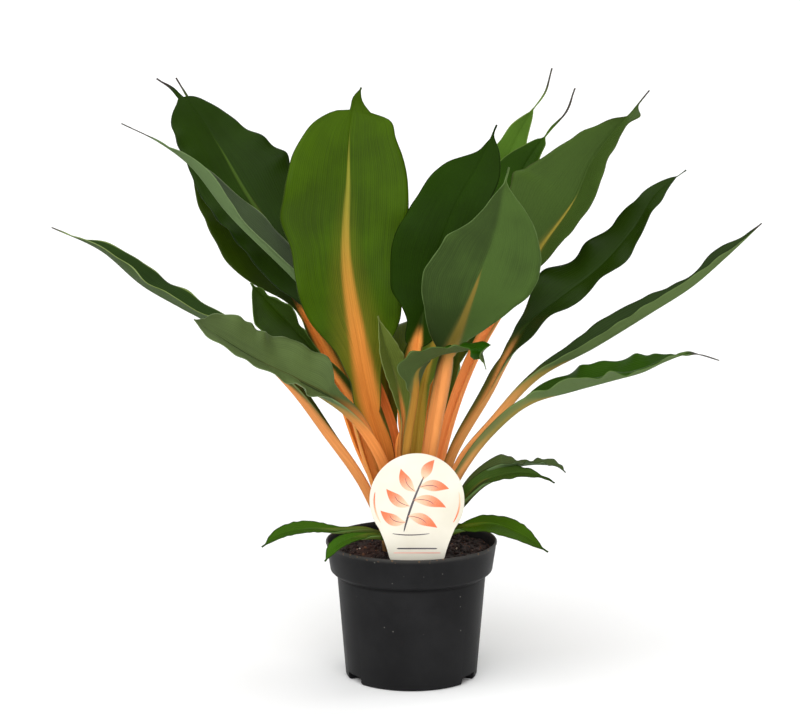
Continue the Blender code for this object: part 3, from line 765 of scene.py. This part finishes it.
# The broad front leaf: the largest and freshest, upright, its face to the front. The stalk is stout
# and its orange runs on in a wide midrib that turns to olive towards the top of the blade.
grow_leaf(
    "front_broad", 15.5, 186, ((-19, -5, 159), (-27, -2, 188)),
    ((-37, 4, 238), (-45.5, 14, 296), (-44, 30, 346), (-42.5, 42, 382), (-40, 47.5, 397), (-35, 51, 409)),
    90, (0, -1, 0.15), upper=(44, 64, 1), under=(80, 104, 58), stalk_width=15, base_power=0.85,
    tip_power=0.35, tail=0.075, point=9, fold=9, wave=3, frill=1.1, frills=7, lighter=1.36,
    rib=(208, 128, 54), rib_width=8.5, rib_reach=0.9, rib_end=(126, 126, 42), turn_tone=(0.12, 0.74),
    flush=26, edge=(44, 56, 20), veins=1.3,
    left=((-0.45, 0), (-0.3, 4), (-0.1, 6), (0.02, 3), (0.1, -8), (0.2, -9.5), (0.3, -1), (0.38, -1.5),
          (0.45, -3.5), (0.5, -4.5), (0.58, 3), (0.64, -0.5), (0.7, -1.5), (0.77, -2.5), (0.83, -5.5),
          (0.87, -6.5), (0.9, -8), (0.92, -8), (0.94, -5), (0.96, 0)),
    right=((-0.2, 0), (0, -1), (0.07, -5), (0.12, -7.5), (0.17, -6), (0.21, -3), (0.26, 2), (0.4, 0),
           (0.6, -1.5), (0.7, -2.5), (0.776, -4), (0.817, -4.5), (0.85, -4), (0.88, -1), (0.9, 2),
           (0.92, 5), (0.94, 3.5), (0.96, 0)))


# Leaves on the left: three dark ones crossing behind the front leaf, one folded nearly shut with a
# long drawn tip, two low ones arching out to the side, and one cupped between them.
grow_leaf(
    "left_high", 15.5, 134, ((-18, 18, 162), (-50, 46, 238)),
    ((-84, 68, 283), (-120, 90, 333), (-140, 104, 365), (-163, 110, 396), (-183, 112, 410)), 63,
    (0.3, -1, 0.5), upper=(26, 43, 4), under=(68, 90, 50), base_power=0.8, tip_power=0.45, tail=0.1,
    fold=8, wave=3, frill=2.2, frills=11, rib=(112, 112, 44), rib_width=2.2, rib_reach=0.8,
    rib_end=(58, 80, 24), flush=2, edge=(26, 42, 18), gloss=0.34,
    left=((-0.5, 0), (-0.33, 6), (-0.2, 10), (-0.1, 8), (0, 1), (0.1, 0), (0.7, 0), (0.8, 2.5), (0.87, 4),
          (0.91, 3), (0.94, 0)),
    right=((0.4, 1), (0.5, 6), (0.55, 8), (0.6, 8.5), (0.65, 1), (0.7, -4), (0.75, -7), (0.8, -7),
           (0.85, -9), (0.9, -6), (0.94, 0)))
grow_leaf(
    "left_folded", 7, 180, ((-8, 6, 156), (-23, 12, 203), (-50, 18, 248)),
    ((-82, 22, 281), (-128, 28, 325), (-156, 30, 359), (-177, 30, 374), (-201, 28, 386)), 36,
    (0.2, 0.3, 1), upper=(44, 56, 32), under=(80, 98, 62), stalk_width=9, base_power=0.8, tip_power=0.9,
    tail=0.18, fold=45, frill=0.8, frills=6, rib=(206, 112, 50), rib_width=1.2, flush=1,
    edge=(120, 140, 92), gloss=0.4,
    left=((0.1, -3, -2), (0.2, -6, -4), (0.3, -8, -5), (0.4, -9.5, -4), (0.5, -9, -3), (0.6, -5),
          (0.7, -2.5), (0.8, 0)),
    right=((0.2, 2), (0.3, 4), (0.4, 8), (0.5, 8), (0.6, 6), (0.7, 2), (0.8, 0)))
grow_leaf(
    "left_deep", 22.5, 128, ((-39, 26, 163), (-57, 52, 208), (-76, 78, 241)),
    ((-89, 90, 260), (-117, 115, 311), (-143, 135, 356), (-166, 150, 397), (-172, 152, 407)), 69,
    (0.3, -1, 0.4), upper=(34, 49, 2), under=(70, 92, 50), base_power=0.85, tip_power=0.7, tail=0.1,
    fold=10, wave=2, frill=1.3, frills=8, rib=(250, 150, 66), rib_width=2.6, rib_reach=0.12,
    rib_end=(90, 70, 26), flush=2, edge=(66, 80, 30),
    left=((-0.35, 0), (-0.2, 4), (-0.07, 3), (0, -2.5), (0.05, -8), (0.1, -7), (0.15, -4), (0.2, 0),
          (0.3, 4), (0.4, 2), (0.5, 0), (0.6, -4), (0.64, -6), (0.7, -4)),
    right=((-0.6, 0), (-0.4, 4), (-0.25, 8), (-0.1, 8), (0, 5), (0.1, 0)))
grow_leaf(
    "left_far", 19, 205, ((-30, -3, 130), (-60, -8, 177), (-83, -12, 209)),
    ((-128, -16, 249), (-158, -20, 266), (-182, -22, 280), (-212, -22, 305), (-245, -20, 320)), 34,
    (0.2, -0.2, 1), upper=(30, 46, 15), under=(50, 66, 31), stalk_width=14, base_power=0.9, tip_power=0.9,
    tail=0.08, fold=32, frill=1.6, frills=6, lighter=1.4, rib=(218, 142, 80), rib_lean=-2.4, spread=4,
    edge=(130, 148, 80), under_edge=(140, 156, 106), veins=1.6,
    left=((0.1, 0, -1), (0.2, 0, -3), (0.35, -1, -1), (0.4, -3, -1), (0.5, -1), (0.7, 0, 2), (0.85, 0, 1)),
    right=((0.1, 0), (0.2, -3), (0.3, -5), (0.4, -5), (0.5, -3.5), (0.56, -1), (0.7, 1), (0.8, -1),
           (0.9, -1.5)))
grow_leaf(
    "left_low", 15.5, 217, ((-22, -22, 160), (-42, -34, 193), (-57, -40, 206)),
    ((-74, -46, 217), (-107, -64, 238), (-129, -72, 254), (-145, -75, 266)), 58, (-0.2, -0.6, 0.8),
    upper=(68, 82, 44), under=(84, 102, 66), stalk_width=13, base_power=0.8, tip_power=0.5, point=6,
    fold=24, roll=22, wave=2, waves=4, frill=1.1, frills=7, lighter=1.24, rib=(224, 136, 68),
    rib_reach=0.9, rib_end=(46, 58, 26), turn_tone=(-0.3, 0), spread=22, flush=0.3, edge=(116, 132, 92),
    gloss=0.5, sheen=0.1, veins=1.4,
    left=((0.1, 3, -3), (0.2, 2, -5), (0.3, 6, -8), (0.4, 8, -8), (0.5, 9, -8), (0.6, 8, -5), (0.7, 3, -1),
          (0.8, 5, -3), (0.86, 9), (0.92, 13), (0.96, 11)),
    right=((-0.03, 2), (0.02, 9), (0.06, 18), (0.1, 19), (0.2, 12), (0.3, 13), (0.4, 7), (0.5, -3),
           (0.6, 0), (0.7, -4), (0.8, -3)))
grow_leaf(
    "left_cupped", 20, 147, ((-32, 14, 154), (-42, 20, 186), (-61, 28, 216)),
    ((-79, 33, 237), (-98, 36, 257), (-113, 38, 273)), 42, (0.3, -0.8, 0.5), upper=(36, 54, 8),
    under=(72, 94, 52), base_power=0.8, tip_power=0.8, fold=28, frill=1.2, frills=5, rib_width=2,
    rib_end=(36, 56, 14), spread=8, flush=2, edge=(96, 120, 62),
    left=((0.4, 6, 2), (0.5, 9, 2), (0.6, 11, 1), (0.7, 12.5), (0.8, 9, 2), (0.9, 4, 1)),
    right=((-0.8, 0), (-0.6, 5), (-0.4, 4), (-0.2, 4), (-0.02, 1), (0.1, -10), (0.2, -13), (0.3, -15),
           (0.4, -15.5), (0.5, -13.5), (0.6, -11, 2), (0.7, -12, 2), (0.8, -11, 2), (0.9, -3)))


# Leaves at the centre and right: a dark one behind the stalks, one that shows its grey underside with
# a keel of orange, a wide one folded along its midrib, and two pale and dark ones with drawn-out tips.
grow_leaf(
    "centre_dark", 7, 275, ((-7, -8, 161), (-1, -12, 206), (4, -15, 238)),
    ((8, -16, 262), (17, -16, 300), (30, -12, 334), (47, -6, 364), (58, 0, 388)), 62, (-0.3, -1, 0.1),
    upper=(25, 44, 3), under=(66, 88, 48), base_power=0.75, tip_power=1.1, fold=9, wave=2, rib_width=4.5,
    rib_reach=0.16, rib_end=(44, 62, 20), flush=3, sheen=0.03, dusty=0.3,
    left=((-0.35, 0), (-0.2, 5), (-0.05, 5), (0, 2), (0.05, -5), (0.1, -11), (0.15, -9), (0.2, -2),
          (0.3, -1), (0.4, 0.5), (0.5, 0), (0.6, 1), (0.68, 3), (0.76, 3), (0.82, 0), (0.87, -3.5),
          (0.93, -1)),
    right=((0.7, 0), (0.8, 5), (0.9, 5), (0.96, 0)))
# This leaf's two halves are painted lighter and darker: painted light and shade.
grow_leaf(
    "right_front", 15.5, 294, ((14, -18, 165), (20, -30, 206), (25, -42, 235)),
    ((34, -50, 261), (45, -62, 294), (56, -70, 328), (61, -72, 355), (64, -70, 367)), 77, (0, 0.9, 0.5),
    upper=(34, 56, 14), under=(46, 62, 26), stalk_width=15, foot_width=12, base_power=0.7, tip_power=0.8,
    fold=8, lighter=1.75, rib=(236, 152, 84), rib_width=2.6, rib_reach=0.52, turn_tone=(-0.1, 0.1),
    under_edge=(98, 120, 70), gloss=0.34, sheen=0.08, veins=0.8, painted_half_shade=-0.36, dusty=0.2,
    left=((0.05, -9), (0.1, -14), (0.2, -11), (0.3, -6), (0.4, 1), (0.5, 3), (0.6, 2.5), (0.68, 0),
          (0.78, -4), (0.86, -6.5), (0.91, -6.5), (0.96, -2)),
    right=((0.1, -3.5), (0.2, -4.5), (0.3, -2.5), (0.4, -2), (0.5, -6), (0.6, -6), (0.7, -13), (0.8, -13),
           (0.9, -8.5), (0.95, -4)))
grow_leaf(
    "right_back", 15.5, 35, ((21, 14, 154), (42, 30, 216), (73, 50, 267)),
    ((92, 58, 295), (117, 72, 329), (129, 80, 355), (142, 86, 372), (160, 92, 391), (170, 94, 403)), 76,
    (0, -1, 0.15), upper=(56, 76, 28), under=(78, 100, 56), stalk_width=12, foot_width=9, base_power=0.7,
    tip_power=0.95, tail=0.1, fold=37, roll=-37, frill=1.4, frills=7, lighter=1.14, rib=(252, 154, 84),
    rib_reach=0.5, rib_end=(140, 126, 48), turn_tone=(-0.05, 0.22), edge=(60, 66, 34), gloss=0.42,
    left=((0.2, 0), (0.3, 5), (0.4, 9), (0.5, 4), (0.57, -2), (0.65, -8), (0.7, -7), (0.76, -7),
          (0.82, -7), (0.86, -7), (0.9, -1)),
    right=((0.1, -12), (0.2, -9), (0.27, -4), (0.4, -2), (0.5, 0), (0.83, 0), (0.855, 11), (0.885, 22, -1),
           (0.91, 0)))
grow_leaf(
    "back_pale", 15.5, 100, ((3, 24, 155), (9, 52, 197)),
    ((29, 98, 256), (56, 132, 318), (73, 150, 353), (89, 158, 382), (99, 162, 396), (104, 165, 413)), 44,
    (0, -1, 0.5), upper=(62, 90, 24), under=(84, 108, 54), base_power=0.8, tip_power=0.6, tail=0.12,
    frill=1.2, frills=8, rib=(184, 152, 58), rib_width=2, rib_reach=0.7, rib_end=(96, 122, 44),
    edge=(116, 136, 64),
    left=((0.6, -2), (0.7, -5), (0.75, -6), (0.8, -4), (0.85, -6), (0.9, -4)),
    right=((0.6, -2), (0.7, -5), (0.8, -6.5), (0.87, -4), (0.92, -1)))
grow_leaf(
    "back_dark", 15.5, 67, ((17, 27, 153), (31, 54, 213)),
    ((50, 80, 266), (67, 100, 311), (82, 120, 345), (99, 132, 368), (113, 139, 383), (120, 146, 400)), 44,
    (0, -1, 0.5), upper=(34, 58, 6), under=(78, 100, 52), stalk_width=10, base_power=0.8, tip_power=0.55,
    tail=0.2, frill=1.0, rib=(72, 90, 28), rib_width=2, rib_reach=0.5, rib_end=(54, 76, 16),
    edge=(92, 116, 50),
    left=((0.65, 0), (0.7, -2), (0.75, -5), (0.79, -3), (0.82, 0)),
    right=((0.5, -4), (0.6, -8, 2), (0.7, -8, 4), (0.75, -6, 4), (0.8, -1)))


# Leaves reaching to the right: long and narrow, on thin stalks that keep green wings far down. One is
# strongly waved, one folded along its length, and the lowest droops over to a thin dry tip.
grow_leaf(
    "right_wavy", 15.5, 4, ((27, 6, 152), (55, 14, 202), (65, 18, 221)),
    ((84, 24, 249), (104, 28, 264), (132, 34, 285), (156, 38, 312), (172, 40, 337), (192, 42, 352)), 36,
    (-0.3, -0.5, 0.8), upper=(26, 42, 4), under=(76, 96, 56), base_power=0.9, tip_power=0.7, tail=0.04,
    fold=12, wave=4, waves=4, frill=1.0, frills=7, rib=(206, 142, 76), rib_lean=2.2, rib_end=(38, 56, 12),
    spread=5, edge=(34, 48, 24), gloss=0.32, sheen=0.07,
    left=((0.1, -6), (0.18, -1), (0.24, 3), (0.3, 8), (0.35, 10), (0.4, 8), (0.5, 3.5), (0.55, 1),
          (0.65, 0), (0.7, 3.5), (0.75, 0), (0.8, -6), (0.85, -4), (0.9, -1)),
    right=((0.1, 2), (0.2, 3.5), (0.3, 1.5), (0.4, -3), (0.5, 1.5), (0.6, -3), (0.65, -5), (0.7, -2),
           (0.75, -2), (0.8, -5.5), (0.85, -2), (0.9, -2.5)))
grow_leaf(
    "right_narrow", 22.5, 356, ((31, -3, 149), (57, -8, 184), (85, -13, 216)),
    ((125, -19, 239), (163, -24, 263), (191, -27, 281.5), (212, -28, 300), (237, -28, 324)), 23,
    (-0.3, 0.1, 1), upper=(34, 48, 20), under=(78, 95, 54), stalk_width=9, base_power=0.9, tip_power=1.1,
    tail=0.08, fold=48, rib=(240, 160, 92), rib_width=1.0, rib_reach=0.16, rib_lean=2.2,
    rib_end=(120, 100, 50), turn_tone=(-0.3, 0.05), spread=5, gloss=0.42, veins=1.4,
    left=((0.1, 2), (0.2, 3.5), (0.3, 5), (0.4, 4), (0.5, 2), (0.65, -1), (0.72, 0), (0.78, 6), (0.84, 6),
          (0.9, 3)),
    right=((0.1, -3), (0.3, -5), (0.5, -3.5), (0.7, -1), (0.8, 0)))
grow_leaf(
    "right_drooping", 15.5, 332, ((32, -15, 146), (55, -24, 180), (80, -34, 203)),
    ((108, -44, 213), (136, -54, 222), (156, -62, 229), (169, -66, 236), (186, -70, 242), (205, -74, 238)),
    35, (0, 0.1, 1), upper=(32, 56, 6), under=(80, 98, 58), stalk_width=9, base_power=0.8, tip_power=0.7,
    tail=0.22, fold=30, wave=2, waves=4, frill=1.4, frills=7, rib=(232, 160, 94), rib_width=0.4,
    rib_reach=0.16, rib_lean=-0.6, rib_end=(84, 88, 40), turn_tone=(-0.55, -0.2), spread=3.5,
    edge=(90, 112, 60),
    left=((0.1, 5, 1), (0.2, 11, 1), (0.3, 5, 1), (0.4, 7, 1), (0.5, 7), (0.55, 4), (0.6, 6), (0.65, 6.5),
          (0.7, 4), (0.8, -1.5), (0.86, 1)),
    right=((0.1, -1), (0.2, -1, -1), (0.35, 0, -2), (0.45, 0, -6), (0.55, 0, -8), (0.6, 0, -4),
           (0.7, 0, -6), (0.8, 0)))


# Small young leaves low on the crown: narrow, on short stalks, some lying over the pot's rim, and one
# at the front that turns its tip over and shows both of its sides.
grow_leaf(
    "small_right_upper", 22.5, 331, ((33, -23, 132), (47, -26, 147), (61, -31, 156)),
    ((74, -35, 159), (88, -39, 160), (101, -43, 158), (105, -45, 155)), 18, (0, 0, 1), upper=(58, 72, 38),
    under=(72, 90, 56), stalk_width=7, frill=1.5, frills=5, rib=(64, 72, 36), rib_width=0.8,
    rib_end=(56, 72, 36), spread=2, flush=1, gloss=0.5,
    left=((-0.6, 0), (-0.3, 6), (-0.1, 8), (0.03, 8), (0.15, 3), (0.25, -2), (0.5, -5), (0.6, -1),
          (0.75, 1.5)))
grow_leaf(
    "small_right_lower", 22.5, 308, ((36, -31, 131), (50, -34, 145.5)),
    ((64, -40, 152.5), (77, -46, 155), (88, -51, 154), (97, -55, 150)), 17, (0, -0.6, 1),
    upper=(46, 66, 20), under=(74, 96, 54), stalk_width=7, frill=1.0, frills=4, rib=(46, 56, 20),
    rib_width=0.8, rib_end=(44, 70, 18), spread=2, flush=1,
    left=((-0.5, 0), (-0.3, 4), (0.1, 4), (0.3, 0), (0.6, -4), (0.8, -4.5)),
    right=((0.4, 0), (0.55, -2), (0.8, -2)))
grow_leaf(
    "rim_right", 22.5, 285, ((22, -32, 108), (35, -37, 114)),
    ((54, -45, 119), (72, -58, 116), (92, -72, 106)), 22, (0, -0.5, 1), upper=(42, 66, 2),
    under=(78, 104, 52), stalk_width=7, frill=0.4, rib=(66, 84, 16), rib_width=1.2, rib_reach=0.5,
    rib_end=(52, 80, 12), spread=3, flush=1,
    left=((0.2, 0), (0.3, -2.5), (0.8, -2.5)),
    right=((-0.2, 0), (0, 3), (0.1, 5), (0.3, 4.5), (0.5, 3), (0.7, 0)))
grow_leaf(
    "rim_left_long", 19.5, 231, ((-27, -26, 109), (-49, -36, 112)),
    ((-75, -44, 115), (-90, -50, 112.5), (-102, -58, 106)), 15, (0, -0.4, 1), upper=(44, 72, 12),
    under=(80, 104, 54), stalk_width=6, frill=0.3, rib=(84, 104, 44), rib_width=1, rib_reach=0.5,
    rib_end=(60, 90, 30), spread=3, flush=1)
grow_leaf(
    "rim_left_short", 22.5, 240, ((-18, -33, 106), (-30, -44, 110)),
    ((-42, -52, 110), (-52, -58, 106), (-59, -66, 98)), 12, (0, -0.4, 1), upper=(44, 74, 12),
    under=(78, 102, 52), stalk_width=6, frill=0.3, rib=(72, 92, 30), rib_width=1, rib_reach=0.5,
    rib_end=(54, 84, 20), spread=3, flush=1)
grow_leaf(
    "small_front", 22.5, 262, ((-3, -33, 172), (2, -42, 210)),
    ((3, -50, 228), (14, -58, 238), (32, -70, 244), (45, -80, 246), (49, -86, 234)), 30, (-0.5, 0.4, 0.7),
    upper=(28, 62, 4), under=(60, 74, 38), stalk_width=8, base_power=0.6, tip_power=0.6, frill=1.4,
    frills=6, rib=(158, 112, 44), rib_width=1.2, rib_reach=0.3, spread=3, edge=(70, 92, 40),
    under_edge=(104, 122, 70),
    left=((0.05, -1), (0.1, 2), (0.2, 7), (0.3, 6), (0.45, 1), (0.6, 0)),
    right=((0, -1), (0.07, -3), (0.12, -4), (0.17, -1), (0.25, 5), (0.4, 4), (0.5, 2), (0.6, 0)))
grow_leaf(
    "young", 15.5, 255, ((-8, -15, 162), (-6, -18, 186)),
    ((-9, -20, 207), (-14, -22, 227), (-19, -22, 243), (-23, -20, 259)), 20, (0.6, -0.8, 0),
    upper=(72, 82, 32), under=(84, 94, 46), stalk_width=6, fold=30, rib=(198, 128, 62), rib_width=1.4,
    rib_reach=0.6, rib_lean=-1.5, rib_end=(96, 104, 48), spread=4, flush=2, edge=(120, 130, 76),
    left=((0.1, -1), (0.3, 1), (0.5, 3), (0.65, 4), (0.8, 1)))


# Leaves behind the clump: two that grow from the far side of the crown and bow over at the back. Of
# these the front shows no more than dark patches between the stalks.
# Painted shade: the left one's upper side and its stalk, orange on the other leaves, are painted a dark
# olive.
grow_leaf(
    "behind_left", 22.5, 103, ((-12, 30, 150), (-16, 50, 182), (-17, 68, 212)),
    ((-19, 98, 228), (-28, 150, 200), (-36, 182, 156)), 44, (0, 0, 1), upper=(50, 60, 2),
    under=(78, 100, 52), tip_power=0.8, wave=2, frill=1.2, rib=(92, 74, 18), rib_width=1.4, rib_reach=0.3,
    rib_end=(80, 88, 30), spread=4,
    left=((-0.6, 0), (-0.35, 5), (-0.1, 8), (0.05, 3), (0.2, 0)),
    right=((-0.35, 0), (-0.2, 4), (-0.08, 12), (0.05, 13), (0.4, 10), (0.5, 3), (0.6, 0)))
grow_leaf(
    "behind_right", 22.5, 80, ((4, 32, 148), (13, 66, 186)),
    ((15, 95, 200), (22, 130, 190), (27, 158, 166)), 32, (0, 0, 1), upper=(48, 74, 14),
    under=(78, 100, 52), tip_power=0.8, wave=2, waves=2, frill=1.0, rib_width=4.62, rib_reach=0.9)


# Studio: a seamless pale floor, a dim even surround, broad soft lights high at the left, low at the
# front and behind on the right, and the camera where the photograph was taken from.
camera_place = (-0.008, -2.0, 0.591)
camera_dip = 10.32


def floor_finish():
    finish, place = new_finish("pale_floor")
    colour = mingle(cloud(place, 3.0), (0.92, 0.92, 0.92, 1), (0.94, 0.94, 0.94, 1))
    return dress(finish, colour, 0.9, sheen=0.1)


def hang_surround():
    """White light from all round, bright at the horizon and dim overhead."""
    sky = bpy.data.worlds.new("studio_surround")
    sky.use_nodes = True
    tree = sky.node_tree
    background = tree.nodes["Background"]
    background.inputs["Color"].default_value = (1, 1, 1, 1)
    height = split(source(tree, "TexCoord").outputs["Generated"])["Z"]
    feed(background.inputs["Strength"], ease(height, 0.14, 0.4, 0.95, 0.18))
    bpy.context.scene.world = sky


def soft_light(name, place, breadth, power):
    """Even light from the direction of a place, as broad in degrees as a large diffuser."""
    bpy.ops.object.light_add(type="SUN", location=place)
    lamp = just_added(name)
    lamp.data.angle = math.radians(breadth)
    lamp.data.energy = power
    lamp.rotation_euler = Vector(place).to_track_quat("Z", "Y").to_euler()


bpy.ops.mesh.primitive_circle_add(vertices=64, radius=14, fill_type="NGON", location=(0, 0, 0))
floor = just_added("studio_floor")
floor.data.materials.append(floor_finish())
hang_surround()
soft_light("high_diffuser", (-1.1, -1.3, 2.4), 80, 2.5)
soft_light("front_diffuser", (0.35, -2.0, 0.95), 50, 1.1)
soft_light("back_diffuser", (1.3, 1.2, 2.2), 70, 1.2)

bpy.ops.object.camera_add(location=camera_place, rotation=(math.radians(90 - camera_dip), 0, 0))
camera = bpy.context.object
camera.data.sensor_width = 36
camera.data.lens = 132.1
camera.data.clip_start = 0.05
bpy.context.scene.camera = camera
bpy.context.scene.view_settings.view_transform = "Standard"
